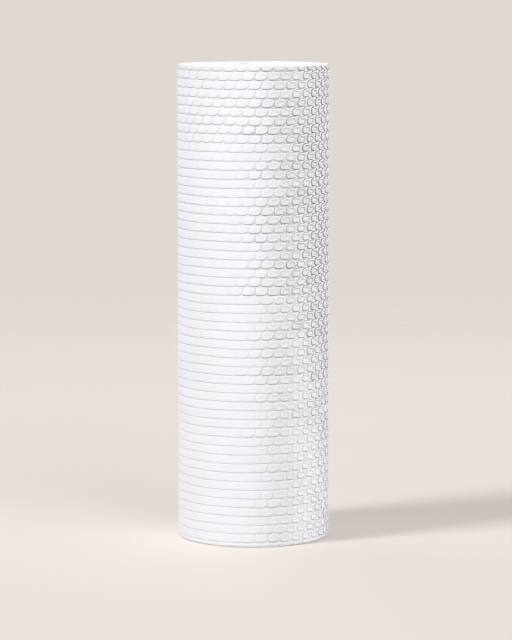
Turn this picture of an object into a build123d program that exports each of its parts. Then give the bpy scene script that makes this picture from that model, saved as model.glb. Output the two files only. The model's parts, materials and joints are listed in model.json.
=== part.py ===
"""Kitchen paper towel roll: an embossed two-ply sheet wound on a card core, standing on its end.

The axis is +Z, the origin is the centre of the lower end, and sizes are in millimetres.
"""

import math
import os

from build123d import *

# Overall size of the wound roll
roll_height = 279.4
roll_diameter = 90.0

# Card core, cut to the same length as the paper
core_bore = 41.3
core_wall = 0.7
glue_film = 0.1

# Sheet: how far its free end stands proud, and the direction in which that end lies on the back
sheet_thickness = 0.6
tail_direction = 115.0

# Embossing: rows of pillowed cells with a groove between each row and the next
row_height = 5.17
cell_width = 7.4
emboss_depth = 0.55

# Spiral line that the edges of the turns draw on both ends
turn_line_pitch = 3.3
turn_line_width = 1.0
turn_line_depth = 0.7

# Sizes that follow from the ones above
outer_radius = roll_diameter / 2
core_radius = core_bore / 2 + core_wall
paper_bore_radius = core_radius + glue_film
row_count = round(roll_height / row_height)
row_pitch = roll_height / row_count
cell_count = round(math.pi * roll_diameter / cell_width)
groove_scale = 1 - emboss_depth / outer_radius
line_start_radius = outer_radius - emboss_depth - sheet_thickness - turn_line_pitch / 2
line_turns = int((line_start_radius - paper_bore_radius) / turn_line_pitch)


def on_outer_turn(turned):
    """Point on the crest of the outer turn, by the angle turned inwards from the sheet's free end."""
    radius = outer_radius - sheet_thickness * turned / 360
    angle = math.radians(tail_direction + turned)
    return (radius * math.cos(angle), radius * math.sin(angle))


# Edges of the turns: a V groove that winds inwards from the sheet's free end, on both ends
with BuildPart() as turn_lines:
    for step in range(line_turns * cell_count + 1):
        turned = step * 360 / cell_count
        radius = line_start_radius - turn_line_pitch * turned / 360
        outwards = Vector(1, 0, 0).rotate(Axis.Z, tail_direction + turned)
        with BuildSketch(Plane((0, 0, roll_height), x_dir=outwards, z_dir=outwards.cross(Vector(0, 0, 1)))):
            with BuildLine():
                Polyline(
                    (radius, -turn_line_depth),
                    (radius + turn_line_width, turn_line_depth),
                    (radius - turn_line_width, turn_line_depth),
                    close=True,
                )
            make_face()
    loft(ruled=True)
    mirror(about=Plane.XY.offset(roll_height / 2))

# Paper: one outline of flats, a cell wide each, narrowed at every groove, with half a row at each end
with BuildPart() as paper_roll:
    for level in range(2 * row_count + 1):
        with BuildSketch(Plane.XY.offset(level * row_pitch / 2)):
            with BuildLine():
                crest = [on_outer_turn(360 * cell / cell_count) for cell in range(cell_count + 1)]
                Polyline(*crest, close=True)
            make_face()
            if level % 2 == 1:
                scale(by=groove_scale)
    loft(ruled=True)
    Cylinder(paper_bore_radius, 2 * roll_height, mode=Mode.SUBTRACT)
    add(turn_lines.part, mode=Mode.SUBTRACT)
paper_roll.part.label = "paper_roll"

with BuildPart() as core_tube:
    with BuildSketch():
        Circle(core_radius)
        Circle(core_bore / 2, mode=Mode.SUBTRACT)
    extrude(amount=roll_height)
core_tube.part.label = "core_tube"

os.makedirs("parts", exist_ok=True)
export_step(paper_roll.part, "parts/paper_roll.step")
export_step(core_tube.part, "parts/core_tube.step")
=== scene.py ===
"""Paper towel roll: its embossed outer turn, the edges of the turns inside it and its card core.

It stands in a plain studio. Lengths are in metres, and in the materials' fine relief in millimetres.
"""

import json
import math

import bpy
import numpy as np
from bpy.props import FloatProperty, FloatVectorProperty, IntProperty, PointerProperty
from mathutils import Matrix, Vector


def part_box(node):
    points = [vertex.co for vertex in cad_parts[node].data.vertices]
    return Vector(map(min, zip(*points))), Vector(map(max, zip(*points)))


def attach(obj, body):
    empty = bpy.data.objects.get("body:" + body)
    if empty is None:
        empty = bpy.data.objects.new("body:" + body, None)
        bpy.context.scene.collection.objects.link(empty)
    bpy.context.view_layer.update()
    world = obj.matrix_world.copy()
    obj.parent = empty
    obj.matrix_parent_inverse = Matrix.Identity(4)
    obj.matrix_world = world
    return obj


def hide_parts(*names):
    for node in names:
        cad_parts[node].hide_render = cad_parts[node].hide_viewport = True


bl_info = {
    "name": "Paper Towel Roll",
    "version": (1, 0, 0),
    "blender": (4, 5, 0),
    "location": "3D View > Sidebar > Towel Roll",
    "description": "Builds an embossed kitchen towel roll on its card core",
    "category": "Add Mesh",
}

MILLIMETRE = 0.001

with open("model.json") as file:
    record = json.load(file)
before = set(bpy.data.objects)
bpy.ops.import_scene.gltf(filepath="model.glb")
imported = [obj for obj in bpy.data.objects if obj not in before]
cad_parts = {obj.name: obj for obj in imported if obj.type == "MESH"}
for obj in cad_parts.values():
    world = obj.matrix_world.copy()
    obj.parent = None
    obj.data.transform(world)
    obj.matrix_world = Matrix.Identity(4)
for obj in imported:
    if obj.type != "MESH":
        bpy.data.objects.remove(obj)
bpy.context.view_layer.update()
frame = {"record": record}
mounts = {mount["name"]: mount for mount in frame["record"]["mounts"]}
core_bore = mounts["core_bore"]["dims"]["r_mm"] * MILLIMETRE
core_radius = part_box("core_tube")[1][0]
roll_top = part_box("paper_roll")[1][2]

# What each point of the outer turn carries: its place in cells and rows with its firmness, and its roundness
CELL_PLACE = "cell_place"
CELL_ROUNDNESS = "cell_roundness"

# Columns of the outer turn stand evenly along the grooves, and inside a row they are drawn to its joints
COLUMNS_PER_CELL = 8
DRAWN_COLUMNS = (0.0, 0.08, 0.17, 0.31, 0.5, 0.69, 0.83, 0.92, 1.0)

# Levels across the cells of a row, and how far up a row the roll is cut at each end
CELL_LEVELS = (0.2, 0.4, 0.6, 0.8)
CUT_LEVEL = 0.5

# How much of its lean a round cell loses, and where its dish starts, as a share of its rounded edge
ROUND_LEAN_LOSS = 0.7
DISH_START = 0.75

# A row's groove is plain by a share from 0 to 1: this level, less this fall for each unit of firmness
PLAIN_LEVEL = 2.0
PLAIN_FALL = 3.3

# Points round each turn on the ends
STATIONS_PER_TURN = 190

# Film of glue between the core and the first turn
GLUE_FILM = 0.0001


def length(name, description, default):
    """A property that holds a length."""
    return FloatProperty(
        name=name, description=description, default=default, precision=5, subtype="DISTANCE", unit="LENGTH"
    )


def angle(name, description, degrees):
    """A property that holds an angle."""
    return FloatProperty(
        name=name, description=description, default=math.radians(degrees), subtype="ANGLE", unit="ROTATION"
    )


def share(name, description, default):
    """A property that holds a share of something."""
    return FloatProperty(name=name, description=description, default=default, subtype="FACTOR")


def count(name, description, default):
    """A property that holds a count, of three or more."""
    return IntProperty(name=name, description=description, default=default, min=3)


def colour(name, description, default):
    """A property that holds a colour."""
    return FloatVectorProperty(
        name=name, description=description, default=default, subtype="COLOR", size=3, min=0.0, max=1.0
    )


class TowelRollSizes(bpy.types.PropertyGroup):
    """Sizes of the wound paper and of its core."""

    height: length("Height", "Length of the roll along its axis", roll_top)
    crest_radius: length("Crest radius", "Radius at the top of the embossing by the free end", 0.045)
    sheet_thickness: length("Sheet thickness", "How much each turn adds to the radius", 0.0006)
    row_count: count("Rows", "Rows of cells up the roll", 54)
    cell_count: count("Cells", "Cells round the roll", 38)
    groove_depth: length("Groove depth", "Depth of the grooves between the rows of cells", 0.0003)
    groove_width: length("Groove width", "Width of the grooves between the rows of cells", 0.0007)
    joint_depth: length("Joint depth", "Depth of the joints between the cells of a row", 0.00028)
    cell_lean: share("Cell lean", "How far a joint leans over one row, in cells", 0.27)
    cell_corner: length("Cell corner", "Radius of a cell's corners", 0.0023)
    cell_narrowing: length("Cell narrowing", "How much a round cell draws in from its joints", 0.00035)
    row_narrowing: length("Row narrowing", "How much a round cell draws in from the rows beside it", 0.0001)
    cell_edge: length("Cell edge", "Width of the rounding along a cell's edges", 0.0012)
    dish_depth: length("Dish depth", "Depth of the dish in the middle of a cell", 0.00013)
    dish_width: length("Dish width", "Width of the slope from a cell's rim down into its dish", 0.001)
    tail_direction: angle("Free end", "Direction of the sheet's free end, from the side", 115.0)
    tail_lift: length("Lift of the free end", "How far the free end stands off the turn below", 0.0006)
    sheet_length: length("Sheet length", "From the free end to the first perforation", 0.264)
    wound_radius: length("Wound radius", "Radius of the turns inside the outer one", 0.0434)
    edge_depth: length("Edge depth", "Depth of the lines between the turns on the ends", 0.00055)
    core_radius: length("Core radius", "Outside radius of the card core", core_radius)
    core_bore: length("Core bore", "Inside radius of the card core", core_bore)
    seam_pitch: length("Seam pitch", "Rise of the core's seam in one turn", 0.112)
    seam_width: length("Seam width", "Gap in the core's inner ply", 0.0009)

    @property
    def cell_angle(self):
        """Angle that one cell takes up round the roll."""
        return 2 * math.pi / self.cell_count

    @property
    def cell_length(self):
        """Length of one cell round the crest."""
        return self.crest_radius * self.cell_angle

    @property
    def row_pitch(self):
        """Height of one row of cells."""
        return self.height / self.row_count


class TowelRollColours(bpy.types.PropertyGroup):
    """Colours of the paper, the painted shade in its embossing, the card and the studio."""

    paper: colour("Paper", "Embossed outer face of the towel", (0.858, 0.864, 0.907))
    # Painted shade: a dark colour mixed into the towel's grooves, gaps between cells, dishes and lower lips,
    # where shade falls
    painted_shade: colour("Painted shade", "Bottom of the grooves and gaps between the cells", (0.2, 0.165, 0.205))
    paper_edge: colour("Paper edge", "Cut edges of the turns", (0.87, 0.875, 0.895))
    card: colour("Card", "Inner ply of the core", (0.9, 0.9, 0.905))
    card_fleck: colour("Card fleck", "Darker fibres in the inner ply", (0.82, 0.815, 0.81))
    floor: colour("Floor", "Studio floor", (0.845, 0.783, 0.724))
    backdrop: colour("Backdrop", "What lies behind the floor", (0.745, 0.69, 0.64))
    fill_light: colour("Fill light", "Even light from all round", (0.97, 0.97, 1.0))


def ramp(value, start, end):
    """0 up to the start and 1 from the end on, with a soft slope between them."""
    part = np.clip((value - start) / (end - start), 0.0, 1.0)
    return part * part * (3.0 - 2.0 * part)


def around_axis(radius, bearing, height):
    """Points by their radius, their bearing from the side and their height."""
    radius, bearing, height = np.broadcast_arrays(radius, bearing, height)
    return np.stack([radius * np.cos(bearing), radius * np.sin(bearing), height], axis=-1)


def grid_quads(index):
    """Quads between neighbours in a grid of point numbers."""
    corners = [index[:-1, :-1], index[1:, :-1], index[1:, 1:], index[:-1, 1:]]
    return np.stack(corners, axis=-1).reshape(-1, 4).tolist()


def strip_quads(first, second):
    """Quads between two rows of point numbers."""
    return np.stack([first[:-1], first[1:], second[1:], second[:-1]], axis=-1).tolist()


def add_piece(name, points, faces, material, smooth_below):
    """A mesh piece that rides on the roll's one body, smooth where faces meet below an angle in degrees."""
    mesh = bpy.data.meshes.new(name)
    mesh.from_pydata(points.tolist(), [], faces)
    mesh.update()
    mesh.shade_smooth()
    mesh.set_sharp_from_angle(angle=math.radians(smooth_below))
    mesh.materials.append(material)
    piece = bpy.data.objects.new(name, mesh)
    bpy.context.scene.collection.objects.link(piece)
    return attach(piece, "root")


def fill(tree, socket, value):
    """Sets a socket to a number or a colour, or links another socket to it."""
    if isinstance(value, SurfaceValue):
        value = value.socket
    if isinstance(value, bpy.types.NodeSocket):
        tree.links.new(value, socket)
    else:
        socket.default_value = value


def add_node(tree, kind, inputs, **settings):
    """A node with its settings, and with values or links in its inputs."""
    node = tree.nodes.new(kind)
    for name, setting in settings.items():
        setattr(node, name, setting)
    for label, value in inputs.items():
        fill(tree, node.inputs[label], value)
    return node


def add_group(name, inputs, outputs):
    """A shader node group with named values, and the nodes that they enter and leave by."""
    group = bpy.data.node_groups.new(name, "ShaderNodeTree")
    for label, default in inputs.items():
        socket = group.interface.new_socket(label, in_out="INPUT", socket_type="NodeSocketFloat")
        socket.default_value = default
    for label in outputs:
        group.interface.new_socket(label, in_out="OUTPUT", socket_type="NodeSocketFloat")
    return group, group.nodes.new("NodeGroupInput"), group.nodes.new("NodeGroupOutput")


def opaque(tone):
    """A colour as the four values that a colour socket takes."""
    return (*tone, 1.0)


def shaded(tone, part):
    """A colour taken down to this part of it."""
    return tuple(channel * part for channel in tone)


class SurfaceValue:
    """A value that changes over a surface: arithmetic with it adds math nodes to its node tree."""

    def __init__(self, tree, socket):
        self.tree = tree
        self.socket = socket

    def calculate(self, operation, *values):
        """A math node on surface values and numbers."""
        node = self.tree.nodes.new("ShaderNodeMath")
        node.operation = operation
        for socket, value in zip(node.inputs, values):
            fill(self.tree, socket, value)
        return SurfaceValue(self.tree, node.outputs[0])

    def __add__(self, other):
        return self.calculate("ADD", self, other)

    def __sub__(self, other):
        return self.calculate("SUBTRACT", self, other)

    def __rsub__(self, other):
        return self.calculate("SUBTRACT", other, self)

    def __mul__(self, other):
        return self.calculate("MULTIPLY", self, other)

    def __truediv__(self, other):
        return self.calculate("DIVIDE", self, other)

    def __abs__(self):
        return self.calculate("ABSOLUTE", self)

    def squared(self):
        return self.calculate("POWER", self, 2.0)

    def root(self):
        return self.calculate("SQRT", self)

    def floor(self):
        return self.calculate("FLOOR", self)

    def fraction(self):
        return self.calculate("FRACT", self)

    def at_least(self, other):
        return self.calculate("MAXIMUM", self, other)

    def at_most(self, other):
        return self.calculate("MINIMUM", self, other)

    def bell(self, middle, width):
        """1 at the middle, falling off on both sides over this width."""
        away = (self - middle) / width
        return self.calculate("EXPONENT", away.squared() * -1.0)

    def ramp(self, start, end):
        """0 up to the start and 1 from the end on, with a soft slope between them."""
        limits = {"Value": self, "From Min": start, "From Max": end}
        node = add_node(self.tree, "ShaderNodeMapRange", limits, interpolation_type="SMOOTHSTEP")
        return SurfaceValue(self.tree, node.outputs["Result"])


def fibre_group():
    """Mottling and fibre relief that paper and card share."""
    name = "Fibre"
    if name in bpy.data.node_groups:
        return bpy.data.node_groups[name]
    amounts = {"Mottle Scale": 60.0, "Fibre Scale": 1500.0, "Stretch": 1.0}
    group, entry, leave = add_group(name, amounts, ("Mottle", "Height"))
    place = group.nodes.new("ShaderNodeTexCoord").outputs["Object"]
    clouds = {"Vector": place, "Scale": entry.outputs["Mottle Scale"], "Detail": 3.0}
    mottle = add_node(group, "ShaderNodeTexNoise", clouds)
    squeeze = add_node(group, "ShaderNodeCombineXYZ", {"X": 1.0, "Y": 1.0, "Z": entry.outputs["Stretch"]})
    factors = {0: place, 1: squeeze.outputs["Vector"]}
    stretched = add_node(group, "ShaderNodeVectorMath", factors, operation="MULTIPLY").outputs["Vector"]
    strands = {"Vector": stretched, "Scale": entry.outputs["Fibre Scale"], "Detail": 4.0, "Roughness": 0.65}
    fibre = add_node(group, "ShaderNodeTexNoise", strands)
    fill(group, leave.inputs["Mottle"], mottle.outputs["Fac"])
    fill(group, leave.inputs["Height"], fibre.outputs["Fac"])
    return group


def outside_of_cell(sizes, side, rise, roundness):
    """Distance outside a cell's round-cornered outline, by the distances from its middle, in millimetres."""
    corner = sizes.cell_corner / MILLIMETRE
    half_length = sizes.cell_length / 2 / MILLIMETRE
    half_pitch = sizes.row_pitch / 2 / MILLIMETRE
    beside = side + roundness * (sizes.cell_narrowing / MILLIMETRE) - (half_length - corner)
    above = rise + roundness * (sizes.row_narrowing / MILLIMETRE) - (half_pitch - corner)
    round_part = (beside.at_least(0.0).squared() + above.at_least(0.0).squared()).root()
    flat_part = beside.at_least(above).at_most(0.0)
    return round_part + flat_part - corner


def emboss_group(sizes):
    """Embossed cells' fine relief in millimetres, and a mask of painted shade in their grooves, gaps, dishes
    and lower lips.
    """
    depths = {"Edge": 0.09, "Wall": 0.31, "Dish": 0.42, "Groove": 0.08, "Creping": 0.12}
    group, entry, leave = add_group("Embossed cells", depths, ("Height", "Painted shade"))
    depth = {label: SurfaceValue(group, entry.outputs[label]) for label in depths}
    place = add_node(group, "ShaderNodeAttribute", {}, attribute_name=CELL_PLACE).outputs["Vector"]
    split = add_node(group, "ShaderNodeSeparateXYZ", {"Vector": place})
    across, up, firmness = (SurfaceValue(group, socket) for socket in split.outputs)
    form = add_node(group, "ShaderNodeAttribute", {}, attribute_name=CELL_ROUNDNESS)
    roundness = SurfaceValue(group, form.outputs["Fac"])
    pressed = 1.0 - roundness

    # Distances from the middle of the cell and from the groove beside its row
    level = up.fraction() - 0.5
    lean = (1.0 - roundness * ROUND_LEAN_LOSS) * sizes.cell_lean
    start = up.floor() * 0.5 + level * lean
    side = abs((across - start).fraction() - 0.5) * (sizes.cell_length / MILLIMETRE)
    rise = abs(level) * (sizes.row_pitch / MILLIMETRE)
    from_groove = sizes.row_pitch / 2 / MILLIMETRE - rise
    outside = outside_of_cell(sizes, side, rise, roundness)

    # The edge of the cell falls off, and inside its rim there is a shallow dish
    edge_width = sizes.cell_edge / MILLIMETRE
    dish_start = -DISH_START * edge_width
    dish_end = dish_start - sizes.dish_width / MILLIMETRE
    edge = (outside.at_most(0.0) / edge_width + 1.0).at_least(0.0).squared()
    hollow = outside.ramp(dish_start, dish_end) * roundness.root()

    # Rows that are pressed flat keep a plain groove, and the others a faint one
    groove_line = 0.14
    faint_groove = 0.35
    plain = (PLAIN_LEVEL - firmness * PLAIN_FALL).at_least(0.0).at_most(1.0)
    groove = from_groove.bell(0.0, groove_line) * plain.at_least(faint_groove)

    # Firm cells have steep walls, which start further in on round cells
    wall_start = -0.38
    round_wall_start = -0.22
    wall_end = -0.03
    wall_gain = 1.5
    most_wall = 3.5
    wall = outside.ramp(roundness * round_wall_start + wall_start, wall_end)
    wall = wall * (firmness * wall_gain).at_most(most_wall)

    # A pressed cell's relief shows its lower lip more than its joints, and painted shade runs along its lower
    # lip
    lower_part = (-0.2, -0.42)
    joint_loss = 0.55
    lip_line = (-0.08, 0.17)
    lower = level.ramp(*lower_part)
    wall = wall * (1.0 - pressed * (1.0 - lower) * joint_loss)
    # The lip mask places painted shade along the lower edge of pressed cells, where shade from above falls
    lip = outside.bell(*lip_line) * lower * pressed * (1.0 - plain)

    # Creping runs along the rows
    waves_per_cell = (0.35, 6.0, 0.0)
    drawn_out = add_node(group, "ShaderNodeVectorMath", {0: place, 1: waves_per_cell}, operation="MULTIPLY")
    waves = {"Vector": drawn_out.outputs["Vector"], "Scale": 1.0, "Detail": 2.0}
    creping = SurfaceValue(group, add_node(group, "ShaderNodeTexNoise", waves).outputs["Fac"])
    sunk = (edge * depth["Edge"] + hollow * depth["Dish"]) * firmness
    sunk = sunk + wall * depth["Wall"] + groove * depth["Groove"]
    fill(group, leave.inputs["Height"], creping * depth["Creping"] - sunk)

    # Painted shade darkens the gaps and dishes more with the firmness, until they are at their deepest, and
    # also darkens the grooves and lower lips
    deepest = 3.0
    gap_line = (-0.05, 0.2)
    gap_shade = 0.85
    dish_shade = 0.2
    groove_shade = 0.29
    lip_shade = 0.43
    deep = (firmness / deepest).squared().at_most(1.0)
    gap = outside.bell(*gap_line) * deep * gap_shade
    painted_shade = gap.at_least(hollow * deep * dish_shade)
    painted_shade = painted_shade.at_least(groove * groove_shade).at_least(lip * lip_shade)
    fill(group, leave.inputs["Painted shade"], painted_shade)
    return group


def fibrous_material(
    name, light, dark, mottle_scale, fibre_scale, relief, stretch=1.0, sheen=0.0, embossing=None, painted_shade=None
):
    """A matt material of pressed fibres between two colours, with its relief in millimetres, and the
    embossing's painted shade mixed into its colour.
    """
    material = bpy.data.materials.new(name)
    material.use_nodes = True
    tree = material.node_tree
    scales = {"Mottle Scale": mottle_scale, "Fibre Scale": fibre_scale, "Stretch": stretch}
    fibre = add_node(tree, "ShaderNodeGroup", scales, node_tree=fibre_group())
    mottle_range = {"Value": fibre.outputs["Mottle"], "From Min": 0.35, "From Max": 0.65}
    spread = add_node(tree, "ShaderNodeMapRange", mottle_range)
    mottled = {"Factor": spread.outputs["Result"], "A": opaque(dark), "B": opaque(light)}
    face = add_node(tree, "ShaderNodeMix", mottled, data_type="RGBA").outputs["Result"]
    height = SurfaceValue(tree, fibre.outputs["Height"]) * relief
    if embossing:
        # The embossing's mask mixes painted shade into the colour of its grooves, gaps, dishes and lower lips
        cells = add_node(tree, "ShaderNodeGroup", {}, node_tree=embossing)
        with_painted_shade = {"Factor": cells.outputs["Painted shade"], "A": face, "B": opaque(painted_shade)}
        face = add_node(tree, "ShaderNodeMix", with_painted_shade, data_type="RGBA").outputs["Result"]
        height = height + cells.outputs["Height"]
    bump = add_node(tree, "ShaderNodeBump", {"Height": height, "Strength": 1.0, "Distance": MILLIMETRE})
    finish = {
        "Base Color": face,
        "Roughness": 0.95,
        "Specular IOR Level": 0.2,
        "Sheen Weight": sheen,
        "Sheen Roughness": 0.6,
        "Normal": bump.outputs["Normal"],
    }
    for label, value in finish.items():
        fill(tree, tree.nodes["Principled BSDF"].inputs[label], value)
    return material


def embossed_towel(sizes, tones):
    """The embossed face of the towel, with painted shade in its grooves, gaps, dishes and lower lips."""
    return fibrous_material(
        "Embossed towel",
        light=tones.paper,
        dark=shaded(tones.paper, 0.975),
        mottle_scale=45.0,
        fibre_scale=2600.0,
        relief=0.05,
        stretch=0.5,
        sheen=0.4,
        embossing=emboss_group(sizes),
        painted_shade=tones.painted_shade,
    )


def cut_edges(tones):
    """The one material of all the sheet's cut edges."""
    name = "Cut towel edges"
    if name in bpy.data.materials:
        return bpy.data.materials[name]
    return fibrous_material(
        name,
        light=tones.paper_edge,
        dark=shaded(tones.paper_edge, 0.95),
        mottle_scale=300.0,
        fibre_scale=3500.0,
        relief=0.08,
    )


def core_board(tones):
    """The flecked card of the core."""
    return fibrous_material(
        "Core board",
        light=tones.card,
        dark=tones.card_fleck,
        mottle_scale=260.0,
        fibre_scale=1800.0,
        relief=0.05,
    )


def bearing_from_front(direction):
    """Bearing from the front of the roll, positive to its right, of a direction from the side."""
    return (direction + 1.5 * math.pi) % (2 * math.pi) - math.pi


def cell_forms(rng, sizes, from_front, height_share, row, cell):
    """How firm and round each cell is: firmer towards the top, and pressed flat on the left of the front.

    Bearings are in radians from the front, positive to its right, and heights are shares of the roll's.
    """
    # Each cell has a firmness of its own, which grows up the roll and towards the right
    firmness_spread = 0.13
    foot_firmness = 0.75
    right_gain = 0.3
    top_gain = 1.15
    firm_right = (0.5, 1.3)
    right_end = 2.4
    firm_height = (0.12, 0.72)
    beyond = 2
    rows, cells = sizes.row_count + 1, sizes.cell_count + 2 * beyond
    firmness = rng.normal(1.0, firmness_spread, (rows, cells))[row, cell + beyond]
    on_right = ramp(from_front, *firm_right) * (from_front < right_end)
    firmness *= foot_firmness + right_gain * on_right + top_gain * ramp(height_share, *firm_height)

    # Cells on the left of the front are pressed, each row for its own length, and the top rows less so
    pressed_left = (-2.4, -1.8)
    pressed_reach = 0.58
    reach_spread = 0.12
    pressed_slope = 0.78
    pressed_loss = 0.85
    top_loss = 0.65
    top_rows = (0.8, 0.88)
    right_stretch = 1.1
    most_firmness = 3.4
    reach = pressed_reach + rng.normal(0.0, reach_spread, rows)[row]
    pressed = ramp(from_front, *pressed_left) * ramp(reach - from_front, 0.0, pressed_slope)
    pressed *= pressed_loss + (top_loss - pressed_loss) * ramp(height_share, *top_rows)
    firmness *= 1 - pressed + right_stretch * on_right

    # Pressed cells are also square
    square_left = (-2.6, -2.0)
    round_right = (0.0, 0.9)
    roundness = 1 - ramp(from_front, *square_left) * (1 - ramp(from_front, *round_right))
    return np.minimum(firmness, most_firmness), roundness


def cell_depth(sizes, side, rise, firmness, roundness):
    """Depth of the embossing below the crest, by the distance from the middle of a cell."""
    from_groove = sizes.row_pitch / 2 - abs(rise)
    groove = np.clip(1 - 2 * from_groove / sizes.groove_width, 0, 1)
    plain = np.clip(PLAIN_LEVEL - PLAIN_FALL * firmness, 0, 1)

    # Distance outside a rectangle with round corners
    beside = abs(side) + sizes.cell_narrowing * roundness - sizes.cell_length / 2 + sizes.cell_corner
    above = abs(rise) + sizes.row_narrowing * roundness - sizes.row_pitch / 2 + sizes.cell_corner
    outside = np.hypot(np.maximum(beside, 0), np.maximum(above, 0)) - sizes.cell_corner
    outside += np.minimum(np.maximum(beside, above), 0)

    # The edge of the cell falls off, and inside its rim there is a shallow dish
    edge = np.clip(1 + outside / sizes.cell_edge, 0, 1) ** 2
    dish_start = DISH_START * sizes.cell_edge
    dish = ramp(-outside, dish_start, dish_start + sizes.dish_width) * np.sqrt(roundness)
    sunk = sizes.joint_depth * edge + sizes.dish_depth * dish
    return sizes.groove_depth * groove * plain + firmness * sunk


class EmbossedSheet:
    """The outer turn as a grid: columns counted in cells from its free end, and levels counted in rows."""

    def __init__(self, sizes, rng):
        self.sizes = sizes
        self.rng = rng
        self.head_level = sizes.row_count + CUT_LEVEL
        self.perforation = sizes.sheet_length / sizes.cell_length
        self.columns = self.lay_columns()
        self.levels = self.lay_levels()
        across, self.up = np.meshgrid(self.columns, self.levels, indexing="ij")
        self.numbers = np.arange(across.size).reshape(across.shape)

        # Place inside each cell, where every second row is half a cell on
        rounding_room = 0.001
        self.row = np.floor(self.up + rounding_room).astype(int)
        self.rise = self.up - self.row - 0.5
        self.start = 0.5 * (self.row % 2)
        self.height_share = (self.up - CUT_LEVEL) / sizes.row_count
        cell = np.floor(across - self.start).astype(int)
        from_front = bearing_from_front(sizes.tail_direction + across * sizes.cell_angle)
        forms = cell_forms(rng, sizes, from_front, self.height_share, self.row, cell)
        self.firmness, self.roundness = forms
        self.lean = sizes.cell_lean * (1 - ROUND_LEAN_LOSS * self.roundness)
        self.across = self.draw_to_joints(across, cell)

    def lay_columns(self):
        """Columns from the free end to a little under it, fewer where the rows are pressed flat.

        One lies on the perforation, with a close pair beside it.
        """
        underlap = 0.5
        slit_room = 0.04
        flat_start, flat_end = -2.1, -0.05
        sizes = self.sizes
        columns = np.arange(COLUMNS_PER_CELL * sizes.cell_count + 1)
        from_front = bearing_from_front(sizes.tail_direction + columns * sizes.cell_angle / COLUMNS_PER_CELL)
        pressed_flat = (from_front > flat_start) & (from_front < flat_end)
        columns = columns[(columns % 2 == 0) | ~pressed_flat] / COLUMNS_PER_CELL
        columns = np.append(columns, sizes.cell_count + underlap)
        slit = np.argmin(abs(columns - self.perforation))
        columns[slit - 1 : slit + 2] = self.perforation + np.array([-slit_room, 0.0, slit_room])
        return columns

    def lay_levels(self):
        """Levels of every row: the groove below it, its shoulder, the cells and the next shoulder."""
        sizes = self.sizes
        shoulder = sizes.groove_width / 2 / sizes.row_pitch
        in_row = np.array([0.0, shoulder, *CELL_LEVELS, 1 - shoulder])
        levels = (np.arange(sizes.row_count + 1)[:, None] + in_row).ravel()
        levels = levels[(levels > CUT_LEVEL) & (levels < self.head_level)]
        return np.concatenate([[CUT_LEVEL], levels, [self.head_level]])

    def draw_to_joints(self, across, cell):
        """Places of the columns, drawn to the joints except by the sheet's end, perforation and grooves."""
        slope = 0.6
        slit_room = 0.06
        groove_slope = 0.06
        even_columns = np.linspace(0, 1, COLUMNS_PER_CELL + 1)
        drawn = cell + self.start + np.interp(across - self.start - cell, even_columns, DRAWN_COLUMNS)
        free = ramp(across, 0, slope) * ramp(self.sizes.cell_count - across, 0, slope)
        free *= ramp(abs(across - self.perforation), slit_room, slit_room + slope)
        free *= ramp(0.5 - abs(self.rise), 0, groove_slope)
        return across + (drawn + self.lean * self.rise - across) * free

    def embossed_depth(self):
        """Depth of the embossing at each point."""
        sizes = self.sizes
        side = self.across - self.lean * self.rise - self.start
        side -= np.floor(side) + 0.5
        return cell_depth(
            sizes, side * sizes.cell_length, self.rise * sizes.row_pitch, self.firmness, self.roundness
        )

    def slits(self):
        """Which points lie at the bottom of the perforation's slits, two in each row."""
        slit_rise = 0.3
        near = 0.01
        on_perforation = abs(self.columns - self.perforation) < near
        return (abs(abs(self.rise) - slit_rise) < near) * on_perforation[:, None]

    def radius(self, turned, lip):
        """Radius of the sheet, from its lifted free end to where it runs in underneath."""
        sizes = self.sizes
        up = self.height_share
        wide_ripple = 0.00009
        fine_ripple = 0.00007
        tuck = 0.0007
        tuck_slope = (-0.1, 0.15)
        foot_rounding = 0.0004
        slit_depth = 0.0004
        radius = sizes.crest_radius - sizes.sheet_thickness * turned / (2 * math.pi) - self.embossed_depth()

        # The sheet ripples a little round and up the roll, and its free end lifts unevenly
        radius += wide_ripple * np.sin(3 * turned + 8 * up) * np.sin(5 * up + 1)
        radius += fine_ripple * np.sin(5 * turned - 17 * up + 2)
        lifted = np.clip(1 - self.across / lip, 0, 1) ** 2
        radius += sizes.tail_lift * lifted * (0.75 + 0.25 * np.sin(19 * up + 1))

        # It is tucked in under the free end, and drawn in at the foot and in the slits
        radius -= tuck * ramp(self.across - sizes.cell_count, *tuck_slope)
        radius -= foot_rounding * (self.up == CUT_LEVEL)
        return radius - slit_depth * self.slits()

    def points(self):
        """Points of the embossed face, then of the foot and the head of the plain face inside it."""
        sizes = self.sizes
        lip = 0.8
        lip_thickness = 0.0003
        most_torn = 0.035
        row_sway = 0.00012
        turned = self.across * sizes.cell_angle
        radius = self.radius(turned, lip)
        torn = (self.columns[:, None] == 0) * self.rng.uniform(0, most_torn, self.levels.size)
        bearing = sizes.tail_direction + turned - torn * sizes.cell_angle

        # The rows sway a little up and down, and the cut ends are straight
        sway = np.sin(3 * turned + 23 * self.height_share)
        sway += 0.6 * np.sin(7 * turned - 31 * self.height_share)
        from_end = np.clip(np.minimum(self.up - CUT_LEVEL, self.head_level - self.up), 0, 1)
        height = (self.up - CUT_LEVEL) * sizes.row_pitch + row_sway * sway * from_end
        face = around_axis(radius, bearing, height).reshape(-1, 3)

        # The sheet is thin at its free end, and reaches the turns below elsewhere
        under = np.where(self.columns < lip, radius.min(axis=1) - lip_thickness, sizes.wound_radius)
        foot = around_axis(under, sizes.tail_direction + self.columns * sizes.cell_angle, 0.0)
        head = foot + np.array([0.0, 0.0, sizes.height])
        return np.concatenate([face, foot, head])

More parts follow.
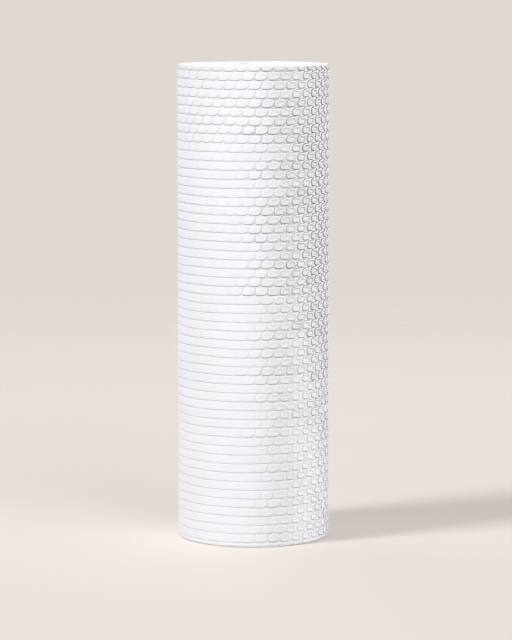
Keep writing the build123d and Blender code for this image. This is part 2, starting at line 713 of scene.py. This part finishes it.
    def faces(self):
        """Faces of the closed sheet, with 1 for each face of its cut ends and 0 for the others."""
        grid = self.numbers
        low = grid.size + np.arange(self.columns.size)
        high = low + self.columns.size
        sides = grid_quads(grid) + strip_quads(high, low)
        ends = strip_quads(low, grid[:, 0]) + strip_quads(grid[:, -1], high)
        middle = self.levels.size // 2
        edges = []
        for column, order in ((0, 1), (self.columns.size - 1, -1)):
            edge = grid[column]
            fan = [(low[column], edge[j], edge[j + 1]) for j in range(middle)]
            fan += [(high[column], edge[j], edge[j + 1]) for j in range(middle, self.levels.size - 1)]
            fan.append((low[column], edge[middle], high[column]))
            edges += [tuple(int(corner) for corner in face[::order]) for face in fan]
        on_end = np.repeat([0, 1, 0], [len(sides), len(ends), len(edges)])
        return sides + ends + edges, on_end

    def sharpen_grooves(self, mesh):
        """Crisp edges along the bottom of every groove, and along the shoulders of the plain ones."""
        most_plain = 0.6
        groove_bottom = 0.499
        room = 1e-6
        from_groove = self.sizes.row_pitch * (0.5 - abs(self.rise))
        grooved = (from_groove < self.sizes.groove_width / 2 + room) & (self.firmness < most_plain)
        grooved |= abs(self.rise) > groove_bottom
        on_groove = np.zeros(len(mesh.vertices), dtype=bool)
        on_groove[: grooved.size] = grooved.ravel()
        edge_ends = np.empty(2 * len(mesh.edges), dtype=int)
        mesh.edges.foreach_get("vertices", edge_ends)
        first, second = edge_ends.reshape(-1, 2).T
        on_face = (first < grooved.size) & (second < grooved.size)
        same_level = on_face & (first % self.levels.size == second % self.levels.size)
        crisp = np.empty(len(mesh.edges), dtype=bool)
        mesh.edges.foreach_get("use_edge_sharp", crisp)
        mesh.edges.foreach_set("use_edge_sharp", crisp | (same_level & on_groove[first]))

    def store_places(self, mesh):
        """Gives each point what the material reads: its place with its firmness, and its roundness."""
        on_face = self.across.size
        places = np.zeros((len(mesh.vertices), 3))
        places[:on_face] = np.stack([self.across, self.up, self.firmness], axis=-1).reshape(-1, 3)
        places[on_face:, 0] = np.tile(self.columns, 2)
        places[on_face:, 1] = np.repeat([CUT_LEVEL, self.head_level], self.columns.size)
        forms = np.zeros(len(mesh.vertices))
        forms[:on_face] = self.roundness.ravel()
        place = mesh.attributes.new(CELL_PLACE, "FLOAT_VECTOR", "POINT")
        place.data.foreach_set("vector", places.ravel())
        form = mesh.attributes.new(CELL_ROUNDNESS, "FLOAT", "POINT")
        form.data.foreach_set("value", forms)


class TOWEL_OT_outer_turn(bpy.types.Operator):
    """Builds the embossed outer turn, with its free end and first perforation on the back"""

    bl_idname = "towel.outer_turn"
    bl_label = "Outer turn"

    def execute(self, context):
        sizes = context.scene.towel_roll
        tones = context.scene.towel_colours
        sheet = EmbossedSheet(sizes, np.random.default_rng(11))
        faces, on_end = sheet.faces()
        towel = embossed_towel(sizes, tones)
        piece = add_piece("outer_turn", sheet.points(), faces, towel, smooth_below=60.0)
        piece.data.materials.append(cut_edges(tones))
        piece.data.polygons.foreach_set("material_index", on_end)
        sheet.sharpen_grooves(piece.data)
        sheet.store_places(piece.data)
        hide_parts("paper_roll")
        return {"FINISHED"}


class TOWEL_OT_wound_turns(bpy.types.Operator):
    """Builds the turns inside the outer one, whose edges draw a spiral on both ends"""

    bl_idname = "towel.wound_turns"
    bl_label = "Wound turns"

    def foot_points(self, sizes, build, turns):
        """Points of the foot: the groove outside each turn, then its two plies with a dip between them."""
        rng = np.random.default_rng(5)
        ply_depth = 0.00006
        dip_depth = 0.00018
        ragged = 0.00005
        wave = 0.00008
        wave_shift = 2.4
        tremble = 0.000025
        sheet = build / (turns + 1)
        station = np.arange((turns + 1) * STATIONS_PER_TURN + 1)
        turned = 2 * math.pi * station / STATIONS_PER_TURN
        bearing = sizes.tail_direction + turned
        groove_radius = sizes.wound_radius - sheet * turned / (2 * math.pi)
        waver = wave * np.sin(sizes.cell_count * turned + wave_shift * np.floor(station / STATIONS_PER_TURN))
        waver += rng.normal(0, tremble, station.size)

        # A turn's lanes, by their share of the sheet inwards and their depth. The groove is one turn longer
        lanes = ((0.0, sizes.edge_depth), (0.24, ply_depth), (0.5, dip_depth), (0.76, ply_depth))
        rings = []
        for inwards, depth in lanes:
            stations = station.size if inwards == 0 else turns * STATIONS_PER_TURN + 1
            radius = groove_radius[:stations] - inwards * sheet + waver[:stations]
            if inwards == 0:
                radius = np.clip(radius, sizes.core_radius + GLUE_FILM, sizes.wound_radius)
            inset = depth + abs(rng.normal(0, ragged, stations))
            rings.append(around_axis(radius, bearing[:stations], inset))
        return np.concatenate(rings)

    def faces(self, turns, below):
        """Faces of the head, foot and two walls. Neighbouring turns share the groove between them."""
        last = turns * STATIONS_PER_TURN
        groove = np.arange(last + STATIONS_PER_TURN + 1)
        plies = [groove.size + ply * (last + 1) + np.arange(last + 1) for ply in range(3)]
        lanes = [groove[: last + 1], *plies, groove[STATIONS_PER_TURN:]]
        upper = [face for outer, inner in zip(lanes, lanes[1:]) for face in strip_quads(outer, inner)]
        first_turn, last_turn = groove[: STATIONS_PER_TURN + 1], groove[last:]
        rim_outside = np.array([*first_turn, *[ply[0] for ply in plies[::-1]], groove[0]])
        rim_inside = np.array([*last_turn, *[ply[last] for ply in plies[::-1]], groove[last]])
        lower = [[corner + below for corner in face[::-1]] for face in upper]
        walls = strip_quads(rim_outside + below, rim_outside) + strip_quads(rim_inside, rim_inside + below)
        return upper + lower + walls

    def execute(self, context):
        sizes = context.scene.towel_roll
        tones = context.scene.towel_colours
        build = sizes.wound_radius - sizes.core_radius - GLUE_FILM
        turns = int(build / sizes.sheet_thickness) - 1
        foot = self.foot_points(sizes, build, turns)
        head = foot * np.array([1.0, 1.0, -1.0]) + np.array([0.0, 0.0, sizes.height])
        points = np.concatenate([head, foot])
        faces = self.faces(turns, len(head))
        piece = add_piece("wound_turns", points, faces, cut_edges(tones), smooth_below=60.0)
        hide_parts("paper_roll")
        return {"FINISHED"}


class TOWEL_OT_core(bpy.types.Operator):
    """Builds the card core, with the spiral seam of its inner ply"""

    bl_idname = "towel.core"
    bl_label = "Card core"

    def execute(self, context):
        sizes = context.scene.towel_roll
        tones = context.scene.towel_colours

        # Two columns on each side of the seam, and plain ones round the rest
        ply_thickness = 0.00025
        seam_bottom, seam_top = 0.45, 0.62
        plain_start, plain_end, plain_count = 0.03, 0.97, 60
        seam = sizes.seam_width / sizes.core_bore
        beside_seam = np.array([-seam_top, -seam_bottom, seam_bottom, seam_top]) * seam
        plain = np.linspace(plain_start, plain_end, plain_count) * 2 * math.pi
        columns = np.concatenate([beside_seam, plain])
        ply_gap = np.where(abs(columns) < seam / 2, ply_thickness, 0.0)

        # Levels between the two rounded ends
        edge_rounding = 0.00012
        first_level = 0.002
        level_count = 150
        ends = np.array([0.0, edge_rounding])
        between = np.linspace(first_level, sizes.height - first_level, level_count)
        levels = np.concatenate([ends, between, sizes.height - ends[::-1]])
        rounding = np.where((levels == 0) | (levels == sizes.height), edge_rounding, 0.0)

        around, up = np.meshgrid(columns, levels, indexing="ij")
        bearing = around + 2 * math.pi * up / sizes.seam_pitch
        outer = around_axis(sizes.core_radius - rounding, bearing, up)
        inner = around_axis(sizes.core_bore + ply_gap[:, None] + rounding, bearing, up)
        points = np.concatenate([outer.reshape(-1, 3), inner.reshape(-1, 3)])
        grid = np.arange(around.size).reshape(around.shape)
        grid = np.concatenate([grid, grid[:1]])
        hidden = grid + around.size
        faces = grid_quads(grid) + grid_quads(hidden[::-1])
        faces += strip_quads(hidden[:, 0], grid[:, 0])
        faces += strip_quads(grid[:, -1], hidden[:, -1])
        piece = add_piece("core_tube_card", points, faces, core_board(tones), smooth_below=40.0)
        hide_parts("core_tube")
        return {"FINISHED"}


def floor_paint(tones):
    """Paint that fades out into the backdrop, and throws back less light than it shows to the camera."""
    fade = (0.4, 1.4)
    dimmed = 0.5
    paint = bpy.data.materials.new("Studio floor")
    paint.use_nodes = True
    tree = paint.node_tree
    place = tree.nodes.new("ShaderNodeTexCoord").outputs["Object"]
    from_roll = add_node(tree, "ShaderNodeVectorMath", {0: place}, operation="LENGTH").outputs["Value"]
    shader = tree.nodes["Principled BSDF"]
    finish = {
        "Base Color": opaque(tones.floor),
        "Roughness": 1.0,
        "Specular IOR Level": 0.0,
        "Alpha": 1.0 - SurfaceValue(tree, from_roll).ramp(*fade),
    }
    for label, value in finish.items():
        fill(tree, shader.inputs[label], value)
    dim = add_node(tree, "ShaderNodeBsdfDiffuse", {"Color": opaque(shaded(tones.floor, dimmed))})
    seen = tree.nodes.new("ShaderNodeLightPath").outputs["Is Camera Ray"]
    sides = {0: seen, 1: dim.outputs["BSDF"], 2: shader.outputs["BSDF"]}
    choose = add_node(tree, "ShaderNodeMixShader", sides)
    fill(tree, tree.nodes["Material Output"].inputs["Surface"], choose.outputs["Shader"])
    return paint


def add_floor(scene, tones):
    """A wide round floor just below the roll."""
    reach = 3.0
    gap = 0.0002
    corners = 96
    turn = np.linspace(0, 2 * math.pi, corners, endpoint=False)
    mesh = bpy.data.meshes.new("floor")
    mesh.from_pydata(around_axis(reach, turn, -gap).tolist(), [], [list(range(corners))])
    mesh.materials.append(floor_paint(tones))
    floor = bpy.data.objects.new("floor", mesh)
    scene.collection.objects.link(floor)


def add_surroundings(scene, tones):
    """Even light from all round, behind which the camera sees the backdrop."""
    world = bpy.data.worlds.new("Studio")
    world.use_nodes = True
    scene.world = world
    tree = world.node_tree
    light = tree.nodes["Background"]
    fill(tree, light.inputs["Color"], opaque(tones.fill_light))
    fill(tree, light.inputs["Strength"], 0.26)
    backdrop = add_node(tree, "ShaderNodeBackground", {"Color": opaque(tones.backdrop)})
    seen = tree.nodes.new("ShaderNodeLightPath").outputs["Is Camera Ray"]
    sides = {0: seen, 1: light.outputs["Background"], 2: backdrop.outputs["Background"]}
    choose = add_node(tree, "ShaderNodeMixShader", sides)
    fill(tree, tree.nodes["World Output"].inputs["Surface"], choose.outputs["Shader"])


def add_lamp(scene, name, bearing, rise, level, spread, casts=True):
    """A wide, even lamp, at a bearing from the camera's side, a height and a spread in degrees.

    Its level is the brightness that it gives to a white surface facing it. With casts off it gives no shadow.
    """
    lamp = bpy.data.lights.new(name, "SUN")
    lamp.energy = math.pi * level
    lamp.angle = math.radians(spread)
    lamp.use_shadow = casts
    holder = bpy.data.objects.new(name, lamp)
    holder.rotation_euler = (math.radians(90.0 - rise), 0.0, math.radians(bearing))
    scene.collection.objects.link(holder)


def add_camera(scene):
    """A camera fitted to the photograph: its focal length is in pixels and its aim in degrees."""
    focal_pixels = 3138.4
    picture_pixels = 640.0
    distance = 1.8454
    eye_height = 0.3526
    downwards = 6.934
    turned_right = 0.043
    lens = bpy.data.cameras.new("camera")
    lens.sensor_fit = "AUTO"
    lens.sensor_width = 36.0
    lens.lens = focal_pixels * lens.sensor_width / picture_pixels
    lens.clip_end = 50.0
    camera = bpy.data.objects.new("camera", lens)
    camera.location = (0.0, -distance, eye_height)
    camera.rotation_euler = (math.radians(90.0 - downwards), 0.0, math.radians(-turned_right))
    scene.collection.objects.link(camera)
    scene.camera = camera


class TOWEL_OT_stage(bpy.types.Operator):
    """Builds the floor, the studio light and the camera"""

    bl_idname = "towel.stage"
    bl_label = "Studio"

    def execute(self, context):
        scene = context.scene
        scene.view_settings.view_transform = "Standard"
        add_floor(scene, scene.towel_colours)
        add_surroundings(scene, scene.towel_colours)
        add_lamp(scene, "key", bearing=-62.0, rise=34.0, level=0.5, spread=16.0)
        add_lamp(scene, "left front", bearing=-40.0, rise=10.0, level=0.23, spread=60.0)
        add_lamp(scene, "right front", bearing=30.0, rise=7.0, level=0.68, spread=60.0)
        add_lamp(scene, "right rear", bearing=108.0, rise=18.0, level=0.62, spread=16.0, casts=False)
        add_lamp(scene, "left rear", bearing=-140.0, rise=6.0, level=0.42, spread=60.0)
        add_camera(scene)
        return {"FINISHED"}


class TOWEL_PT_panel(bpy.types.Panel):
    """Sizes, colours and build steps of the towel roll"""

    bl_idname = "TOWEL_PT_panel"
    bl_label = "Towel Roll"
    bl_space_type = "VIEW_3D"
    bl_region_type = "UI"
    bl_category = "Towel Roll"

    def draw(self, context):
        layout = self.layout
        for group in (context.scene.towel_roll, context.scene.towel_colours):
            box = layout.box()
            for name in group.bl_rna.properties.keys():
                if name not in {"rna_type", "name"}:
                    box.prop(group, name)
        for step in BUILD_STEPS:
            layout.operator(step.bl_idname)


BUILD_STEPS = (TOWEL_OT_outer_turn, TOWEL_OT_wound_turns, TOWEL_OT_core, TOWEL_OT_stage)
CLASSES = (TowelRollSizes, TowelRollColours, *BUILD_STEPS, TOWEL_PT_panel)


def register():
    for each in CLASSES:
        bpy.utils.register_class(each)
    bpy.types.Scene.towel_roll = PointerProperty(type=TowelRollSizes)
    bpy.types.Scene.towel_colours = PointerProperty(type=TowelRollColours)


def unregister():
    del bpy.types.Scene.towel_colours
    del bpy.types.Scene.towel_roll
    for each in reversed(CLASSES):
        bpy.utils.unregister_class(each)


def main():
    register()
    bpy.ops.towel.outer_turn()
    bpy.ops.towel.wound_turns()
    bpy.ops.towel.core()
    bpy.ops.towel.stage()


if __name__ == "__main__":
    main()
